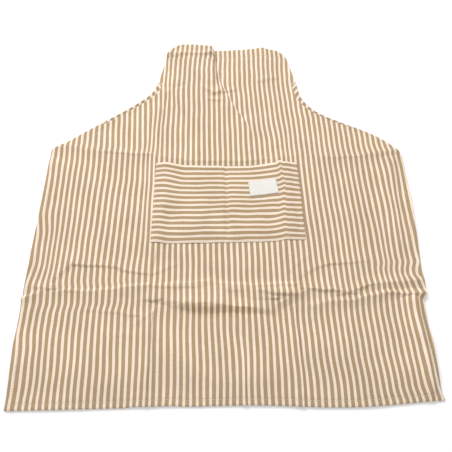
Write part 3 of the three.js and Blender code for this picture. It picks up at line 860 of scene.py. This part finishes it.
class Wiring:
    """Adds nodes to a tree and joins them: a socket is linked, and a plain value is set."""

    def __init__(self, tree):
        self.tree = tree

    def feed(self, socket, value):
        """Links or sets one input."""
        if isinstance(value, bpy.types.NodeSocket):
            self.tree.links.new(value, socket)
        else:
            socket.default_value = value

    def add(self, kind, inputs=None, **settings):
        """Adds a node with its settings and its inputs, by name or number."""
        node = self.tree.nodes.new(kind)
        for name, value in settings.items():
            setattr(node, name, value)
        for name, value in (inputs or {}).items():
            self.feed(node.inputs[name], value)
        return node

    def math(self, operation, *values):
        """Adds a sum and gives its result."""
        node = self.add("ShaderNodeMath", dict(enumerate(values)), operation=operation)
        return node.outputs[0]

    def noise(self, place, scale, detail=FINE_DETAIL):
        """Adds soft noise over a place and gives its value."""
        return self.add("ShaderNodeTexNoise", {"Vector": place, "Scale": scale, "Detail": detail}).outputs[0]

    def group(self, name, make, inputs):
        """Adds a shared group of nodes with its inputs and gives its outputs."""
        return self.add("ShaderNodeGroup", inputs, node_tree=shared_group(name, make)).outputs

    def soft_step(self, value, low, high, start=0.0, end=1.0):
        """Goes softly from start to end while value goes from low to high."""
        inputs = {"Value": value, "From Min": low, "From Max": high, "To Min": start, "To Max": end}
        return self.add("ShaderNodeMapRange", inputs, interpolation_type="SMOOTHSTEP").outputs[0]

    def tint(self, tone, shade):
        """Makes a colour lighter or darker by a value near 1."""
        grey = self.add("ShaderNodeCombineColor", {0: shade, 1: shade, 2: shade}).outputs[0]
        return self.mix(1.0, tone, grey, "MULTIPLY")

    def mix(self, share, first, second, blend="MIX"):
        """Mixes two colours."""
        node = self.add(
            "ShaderNodeMix", {0: share, 6: first, 7: second}, data_type="RGBA", blend_type=blend)
        return node.outputs[2]


def shared_group(name, make):
    """A node group that is built once and used in several places."""
    return bpy.data.node_groups.get(name) or make()


def new_group(name, kind, inputs, outputs):
    """A new node group with named sockets, and the wiring, inputs and outputs inside it."""
    tree = bpy.data.node_groups.new(name, kind)
    for socket_name, socket_kind, value in inputs:
        socket = tree.interface.new_socket(socket_name, in_out="INPUT", socket_type=socket_kind)
        if value is not None:
            socket.default_value = value
    for socket_name, socket_kind in outputs:
        tree.interface.new_socket(socket_name, in_out="OUTPUT", socket_type=socket_kind)
    wiring = Wiring(tree)
    return tree, wiring, wiring.add("NodeGroupInput").outputs, wiring.add("NodeGroupOutput").inputs


def stripe_group():
    """Yarn-dyed stripes across one coordinate, with slightly uneven edges."""
    inputs = [
        ("Across", "NodeSocketFloat", None),
        ("Cloth", "NodeSocketVector", None),
        ("Repeat", "NodeSocketFloat", None),
        ("Pale Width", "NodeSocketFloat", None),
        ("Wander", "NodeSocketFloat", EDGE_WANDER),
        ("Tan", "NodeSocketColor", None),
        ("Pale", "NodeSocketColor", None),
    ]
    tree, wire, given, result = new_group(
        "Yarn Stripes", "ShaderNodeTree", inputs, [("Colour", "NodeSocketColor")])
    wander = wire.math("SUBTRACT", wire.noise(given["Cloth"], EDGE_SCALE), 0.5)
    aside = wire.math("MULTIPLY", wander, given["Wander"])
    phase = wire.math("DIVIDE", wire.math("ADD", given["Across"], aside), given["Repeat"])
    from_pale = wire.math("PINGPONG", phase, 0.5)
    half = wire.math("DIVIDE", wire.math("MULTIPLY", given["Pale Width"], 0.5), given["Repeat"])
    inner = wire.math("SUBTRACT", half, STRIPE_SOFTNESS)
    outer = wire.math("ADD", half, STRIPE_SOFTNESS)
    pale_share = wire.soft_step(from_pale, inner, outer, 1.0, 0.0)
    wire.feed(result["Colour"], wire.mix(pale_share, given["Tan"], given["Pale"]))
    return tree


def weave_group():
    """A plain weave: threads over and under each other, with thick and thin places in the yarn."""
    inputs = [("Cloth", "NodeSocketVector", None), ("Spacing", "NodeSocketFloat", None)]
    outputs = [("Height", "NodeSocketFloat"), ("Yarn", "NodeSocketFloat"), ("Cloud", "NodeSocketFloat")]
    tree, wire, given, result = new_group("Plain Weave", "ShaderNodeTree", inputs, outputs)
    parts = wire.add("ShaderNodeSeparateXYZ", {0: given["Cloth"]}).outputs
    turn = wire.math("DIVIDE", math.pi, given["Spacing"])
    warp = wire.math("SINE", wire.math("MULTIPLY", parts[0], turn))
    weft = wire.math("SINE", wire.math("MULTIPLY", parts[1], turn))
    crossing = wire.math("MULTIPLY", warp, weft)
    across, along = YARN_SCALE["across"], YARN_SCALE["along"]
    yarns = []
    for scale in ((across, along, 1.0), (along, across, 1.0)):
        stretched = wire.add("ShaderNodeMapping", {"Vector": given["Cloth"], "Scale": scale})
        yarns.append(wire.noise(stretched.outputs[0], 1.0))
    yarn = wire.math("MULTIPLY", wire.math("ADD", *yarns), 0.5)
    wire.feed(result["Height"], wire.math("ADD", wire.math("MULTIPLY", crossing, 0.5), yarn))
    wire.feed(result["Yarn"], yarn)
    wire.feed(result["Cloud"], wire.noise(given["Cloth"], CLOUD_SCALE, CLOUD_DETAIL))
    return tree


def new_material(name):
    """A material with its wiring and its Principled shader."""
    material = bpy.data.materials.new(name)
    material.use_nodes = True
    return material, Wiring(material.node_tree), material.node_tree.nodes["Principled BSDF"]


def set_woven(wire, shader, weave, look, tone):
    """Gives a shader a colour and a roughness that change with the yarn, and the relief of the threads."""
    shade = wire.soft_step(weave["Yarn"], *NOISE_RANGE, *look["yarn"])
    rough = wire.soft_step(weave["Yarn"], *NOISE_RANGE, *look["rough"])
    relief = {"Strength": look["bump"], "Distance": look["depth"], "Height": weave["Height"]}
    wire.feed(shader.inputs["Base Color"], wire.tint(tone, shade))
    wire.feed(shader.inputs["Roughness"], rough)
    wire.feed(shader.inputs["Normal"], wire.add("ShaderNodeBump", relief).outputs[0])


def painted_hollow_share(wire, cloth):
    """How far inside the fold's hollow, with its painted shade and light, each place of the panel is."""
    parts = wire.add("ShaderNodeSeparateXYZ", {0: cloth}).outputs
    uneven = wire.math("SUBTRACT", wire.noise(cloth, HOLLOW["scale"]), 0.5)
    rim = wire.math("MULTIPLY", uneven, HOLLOW["ragged"])
    across = wire.math("SUBTRACT", parts[0], CLOTH_MIDDLE + HOLLOW["at"][0] * MM)
    up = wire.math("SUBTRACT", parts[1], CLOTH_MIDDLE + HOLLOW["at"][1] * MM)
    level = wire.math("SUBTRACT", up, wire.math("MULTIPLY", across, HOLLOW["lean"]))
    inside = []
    for off, half in zip((across, level), HOLLOW["half"]):
        away = wire.math("ABSOLUTE", wire.math("DIVIDE", off, half * MM))
        inside.append(wire.soft_step(wire.math("ADD", away, rim), *HOLLOW["fade"], 1.0, 0.0))
    return wire.math("MULTIPLY", *inside)


def striped_material(name, settings, stripes_run_up):
    """Matt woven cloth with tan and pale stripes, which run up the cloth or across it."""
    material, wire, shader = new_material(name)
    cloth = wire.add("ShaderNodeUVMap", uv_map="cloth").outputs[0]
    parts = wire.add("ShaderNodeSeparateXYZ", {0: cloth}).outputs
    tan, pale = tuple(settings.tan), tuple(settings.pale)
    if stripes_run_up:
        # The fold's hollow gets painted shade on its tan stripes and painted bounced light on its pale
        # stripes.
        share = painted_hollow_share(wire, cloth)
        tan = wire.mix(share, tan, PAINTED_SHADE_TAN)
        pale = wire.mix(share, pale, PAINTED_LIGHT_PALE)
    stripes = wire.group("Yarn Stripes", stripe_group, {
        "Across": parts[0] if stripes_run_up else parts[1],
        "Cloth": cloth,
        "Repeat": settings.stripe_repeat,
        "Pale Width": settings.pale_width,
        "Tan": tan,
        "Pale": pale,
    })
    weave = wire.group("Plain Weave", weave_group, {"Cloth": cloth, "Spacing": settings.thread_spacing})
    cloud = wire.soft_step(weave["Cloud"], *NOISE_RANGE, *CLOTH_LOOK["cloud"])
    set_woven(wire, shader, weave, CLOTH_LOOK, wire.tint(stripes["Colour"], cloud))
    for socket, value in CLOTH_GLOSS.items():
        wire.feed(shader.inputs[socket], value)
    return material


def label_material(name, settings):
    """Smooth woven tape, plain white, with threads half as wide and a soft gloss."""
    material, wire, shader = new_material(name)
    cloth = wire.add("ShaderNodeUVMap", uv_map="cloth").outputs[0]
    weave = wire.group("Plain Weave", weave_group, {"Cloth": cloth, "Spacing": settings.thread_spacing / 2})
    set_woven(wire, shader, weave, LABEL_LOOK, tuple(settings.label))
    return material


def thread_material(name, tone):
    """Twisted sewing thread."""
    material, wire, shader = new_material(name)
    fibre = wire.noise(wire.add("ShaderNodeTexCoord").outputs["Object"], FIBRE_SCALE)
    shade = wire.soft_step(fibre, *NOISE_RANGE, *THREAD_LOOK["yarn"])
    wire.feed(shader.inputs["Base Color"], wire.tint(tuple(tone), shade))
    wire.feed(shader.inputs["Roughness"], wire.soft_step(fibre, *NOISE_RANGE, *THREAD_LOOK["rough"]))
    return material


def stitch_group():
    """Geometry nodes that set stitches along lines: one slim rounded stitch to each step of the line."""
    inputs = [
        ("Lines", "NodeSocketGeometry", None),
        ("Stitch Length", "NodeSocketFloat", None),
        ("Stitch Gap", "NodeSocketFloat", None),
        ("Thread Width", "NodeSocketFloat", None),
        ("Turn", "NodeSocketFloat", STITCH_TURN),
        ("Seed", "NodeSocketInt", None),
        ("Material", "NodeSocketMaterial", None),
    ]
    tree, wire, given, result = new_group(
        "Seam Stitches", "GeometryNodeTree", inputs, [("Stitches", "NodeSocketGeometry")])
    line = wire.add("GeometryNodeMeshToCurve", {"Mesh": given["Lines"]})
    step = wire.math("ADD", given["Stitch Length"], given["Stitch Gap"])
    spaced = wire.add("GeometryNodeResampleCurve", {"Curve": line.outputs[0], "Length": step}, mode="LENGTH")
    half_length = wire.math("MULTIPLY", given["Stitch Length"], 0.5)
    half_width = wire.math("MULTIPLY", given["Thread Width"], 0.5)
    ball = wire.add("GeometryNodeMeshUVSphere", STITCH_BALL)
    size = wire.add("ShaderNodeCombineXYZ", {0: half_length, 1: half_width, 2: half_width}).outputs[0]
    stitch = wire.add("GeometryNodeTransform", {"Geometry": ball.outputs[0], "Scale": size})
    tangent = wire.add("GeometryNodeInputTangent").outputs[0]
    along = wire.add(
        "FunctionNodeAxesToRotation", {0: tangent, 1: (0.0, 0.0, 1.0)}, primary_axis="X", secondary_axis="Z")
    low_turn = wire.math("MULTIPLY", given["Turn"], -1.0)
    sway = wire.add(
        "FunctionNodeRandomValue", {"Min": low_turn, "Max": given["Turn"], "Seed": given["Seed"]},
        data_type="FLOAT")
    swayed = wire.add("ShaderNodeCombineXYZ", {2: sway.outputs["Value"]}).outputs[0]
    turned = wire.add(
        "FunctionNodeRotateRotation", {0: along.outputs[0], 1: swayed}, rotation_space="LOCAL")
    placed = wire.add(
        "GeometryNodeInstanceOnPoints",
        {"Points": spaced.outputs[0], "Instance": stitch.outputs[0], "Rotation": turned.outputs[0]})
    real = wire.add("GeometryNodeRealizeInstances", {"Geometry": placed.outputs[0]})
    soft = wire.add("GeometryNodeSetShadeSmooth", {0: real.outputs[0]})
    painted = {"Geometry": soft.outputs[0], "Material": given["Material"]}
    wire.feed(result["Stitches"], wire.add("GeometryNodeSetMaterial", painted).outputs[0])
    return tree


def sew(name, lines, sewing, material):
    """Stitches along lines of points in the frame, as one plain mesh."""
    points, edges = [], []
    for line in lines:
        first = len(points)
        points.extend(np.asarray(line).tolist())
        edges.extend((number, number + 1) for number in range(first, len(points) - 1))
    guide_mesh = bpy.data.meshes.new(name + "_lines")
    guide_mesh.from_pydata(points, edges, [])
    guide = add_object(name + "_lines", guide_mesh)
    tree = shared_group("Seam Stitches", stitch_group)
    modifier = guide.modifiers.new("Stitches", "NODES")
    modifier.node_group = tree
    sizes = {
        "Stitch Length": sewing.stitch_length,
        "Stitch Gap": sewing.stitch_gap,
        "Thread Width": sewing.thread_width,
        "Seed": sewing.seed,
        "Material": material,
    }
    for item in tree.interface.items_tree:
        if item.in_out == "INPUT" and item.name in sizes:
            modifier[item.identifier] = sizes[item.name]
    depsgraph = bpy.context.evaluated_depsgraph_get()
    mesh = bpy.data.meshes.new_from_object(guide.evaluated_get(depsgraph))
    mesh.name = name
    guide.modifiers.remove(modifier)
    bpy.data.objects.remove(guide)
    bpy.data.meshes.remove(guide_mesh)
    if not mesh.polygons:
        raise RuntimeError(f"{name} has no stitches")
    return add_piece(name, mesh, material)


def grid_lines(layout, rows, columns, rise):
    """Lines of points along some rows and columns of a laid piece, a little above its upper face."""
    points = to_frame(layout["x"], layout["y"], layout["top"] + rise)
    return [points[row] for row in rows] + [points[:, column] for column in columns]


class APRON_OT_front_panel(Operator):
    """Lays the bib and skirt, cut in one, with their folds and turned hems"""

    bl_idname = "apron.front_panel"
    bl_label = "Lay Front Panel"

    def execute(self, context):
        cloth = context.scene.apron_cloth
        mesh = cloth_mesh("front_panel_cloth", panel_layout(cloth.thickness / MM))
        panel = add_piece("front_panel_cloth", mesh, striped_material("Striped Cloth", cloth, True))
        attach(panel, "root")
        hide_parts("front_panel")
        return {"FINISHED"}


class APRON_OT_pocket(Operator):
    """Lays the divided patch pocket on the panel, open along its top"""

    bl_idname = "apron.pocket"
    bl_label = "Lay Pocket"

    def execute(self, context):
        cloth = context.scene.apron_cloth
        mesh = cloth_mesh("pocket_cloth", pocket_layout(cloth.thickness / MM))
        pocket = add_piece("pocket_cloth", mesh, striped_material("Pocket Cloth", cloth, False))
        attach(pocket, "root")
        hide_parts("pocket")
        return {"FINISHED"}


class APRON_OT_label(Operator):
    """Lays the blank woven label on the pocket"""

    bl_idname = "apron.label"
    bl_label = "Lay Label"

    def execute(self, context):
        cloth = context.scene.apron_cloth
        layout = label_layout(tree_of(bpy.data.objects["pocket_cloth"]))
        label = add_piece("label_tape", cloth_mesh("label_tape", layout), label_material("Woven Tape", cloth))
        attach(label, "root")
        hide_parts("label")
        return {"FINISHED"}


class APRON_OT_stitches(Operator):
    """Sews the hems, the pocket and the label"""

    bl_idname = "apron.stitches"
    bl_label = "Sew Seams"

    def execute(self, context):
        cloth, sewing = context.scene.apron_cloth, context.scene.apron_sewing
        pale = thread_material("Pale Thread", sewing.thread)
        tan = thread_material("Tan Thread", sewing.edge_thread)
        thick = cloth.thickness / MM
        rise = STITCH_RISE * sewing.thread_width / MM
        seam = HEM_LINES.index(HEM_STITCH)
        panel = panel_layout(thick)
        top_seam = TOP_HEM_LINES.index(HEM_STITCH)
        hem = grid_lines(panel, (seam, -1 - top_seam), (), rise)
        edges = grid_lines(panel, (), (seam, -1 - seam), rise)

        pocket = pocket_layout(thick)
        column = (POCKET["right"][0] - POCKET["left"][0]) / POCKET_COLUMNS
        row = POCKET_CUT / POCKET_ROWS
        side = round(POCKET_STITCH / column)
        middle = round((POCKET["middle"] - POCKET["left"][0]) / column)
        bottom, mouth = round(POCKET_STITCH / row), round(MOUTH["hem"] / row)
        seams = grid_lines(pocket, (bottom, -1 - mouth), (side, middle, -1 - side), rise)

        label = label_layout(tree_of(bpy.data.objects["pocket_cloth"]))
        from_end = round(LABEL["stitch"] * LABEL_COLUMNS / LABEL["width"])
        from_edge = round(LABEL["stitch"] * LABEL_ROWS / LABEL["height"])
        label_seams = grid_lines(label, (from_edge, -1 - from_edge), (from_end, -1 - from_end), rise)

        for name, lines, thread, cloth_name, slot in (
            ("hem_stitches", hem, pale, "front_panel_cloth", "striped_cloth"),
            ("edge_stitches", edges, tan, "front_panel_cloth", "striped_cloth"),
            ("pocket_stitches", seams, pale, "pocket_cloth", "pocket_cloth"),
            ("label_stitches", label_seams, pale, "label_tape", "label_cloth"),
        ):
            stitches = sew(name, lines, sewing, thread)
            stitches.parent = bpy.data.objects[cloth_name]
        return {"FINISHED"}


class APRON_OT_stage(Operator):
    """Sets the floor, the soft light and the camera"""

    bl_idname = "apron.stage"
    bl_label = "Set Stage"

    def execute(self, context):
        stage = context.scene.apron_stage
        add_floor(stage)
        add_light(stage)
        add_camera(context.scene, stage)
        return {"FINISHED"}


def add_floor(stage):
    """A wide plain floor just under the cloth."""
    half, level = FLOOR["half"], -FLOOR["below"]
    mesh = bpy.data.meshes.new("floor")
    corners = [(-half, -half, level), (half, -half, level), (half, half, level), (-half, half, level)]
    mesh.from_pydata(corners, [], [(0, 1, 2, 3)])
    material, wire, shader = new_material("Pale Floor")
    wire.feed(shader.inputs["Base Color"], tuple(stage.floor))
    wire.feed(shader.inputs["Roughness"], FLOOR["rough"])
    add_piece("floor", mesh, material)


def add_light(stage):
    """Even light from all around, and a broad lamp beyond the bib, a little to the left."""
    world = bpy.data.worlds.new("Soft Studio")
    world.use_nodes = True
    background = world.node_tree.nodes["Background"]
    background.inputs["Color"].default_value = (1.0, 1.0, 1.0, 1.0)
    background.inputs["Strength"].default_value = stage.fill
    bpy.context.scene.world = world
    lamp = bpy.data.lights.new("key", "AREA")
    lamp.shape = "RECTANGLE"
    lamp.size = LAMP["width"]
    lamp.size_y = LAMP["height"]
    lamp.energy = stage.key
    key = add_object("key", lamp)
    key.location = LAMP["at"]
    key.rotation_euler = (-key.location).to_track_quat("-Z", "Y").to_euler()


def add_camera(scene, stage):
    """A camera at the picture's place and turn."""
    scene.view_settings.view_transform = "Standard"
    data = bpy.data.cameras.new("camera")
    data.sensor_width = SENSOR_WIDTH
    data.sensor_fit = "HORIZONTAL"
    data.lens = stage.lens
    camera = add_object("camera", data)
    yaw = Matrix.Rotation(CAMERA_TURN["yaw"], 4, "Z")
    pitch = Matrix.Rotation(CAMERA_TURN["pitch"], 4, "X")
    roll = Matrix.Rotation(CAMERA_TURN["roll"], 4, "Z")
    place = Matrix.Translation(to_frame(*(np.array(part) for part in CAMERA_AT)).tolist())
    camera.matrix_world = place @ yaw @ pitch @ roll
    scene.camera = camera


class APRON_PT_sidebar(Panel):
    """Lists the apron's pieces and settings"""

    bl_label = "Striped Cloth Apron"
    bl_space_type = "VIEW_3D"
    bl_region_type = "UI"
    bl_category = "Apron"

    def draw(self, context):
        layout = self.layout
        for group in (context.scene.apron_cloth, context.scene.apron_sewing, context.scene.apron_stage):
            box = layout.box()
            for name in group.bl_rna.properties.keys():
                if name not in ("rna_type", "name"):
                    box.prop(group, name)
        for operator in OPERATORS:
            layout.operator(operator.bl_idname)


SETTINGS = {"apron_cloth": ApronCloth, "apron_sewing": ApronSewing, "apron_stage": ApronStage}
OPERATORS = (
    APRON_OT_front_panel,
    APRON_OT_pocket,
    APRON_OT_label,
    APRON_OT_stitches,
    APRON_OT_stage,
)
CLASSES = (*SETTINGS.values(), *OPERATORS, APRON_PT_sidebar)


def register():
    """Registers the classes and puts the settings on the scene."""
    for item in CLASSES:
        bpy.utils.register_class(item)
    for name, settings in SETTINGS.items():
        setattr(bpy.types.Scene, name, PointerProperty(type=settings))


def unregister():
    """Takes the settings and the classes out again."""
    for name in SETTINGS:
        delattr(bpy.types.Scene, name)
    for item in reversed(CLASSES):
        bpy.utils.unregister_class(item)


def main():
    """Lays out the apron and its stage."""
    register()
    bpy.ops.apron.front_panel()
    bpy.ops.apron.pocket()
    bpy.ops.apron.label()
    bpy.ops.apron.stitches()
    bpy.ops.apron.stage()


if __name__ == "__main__":
    main()
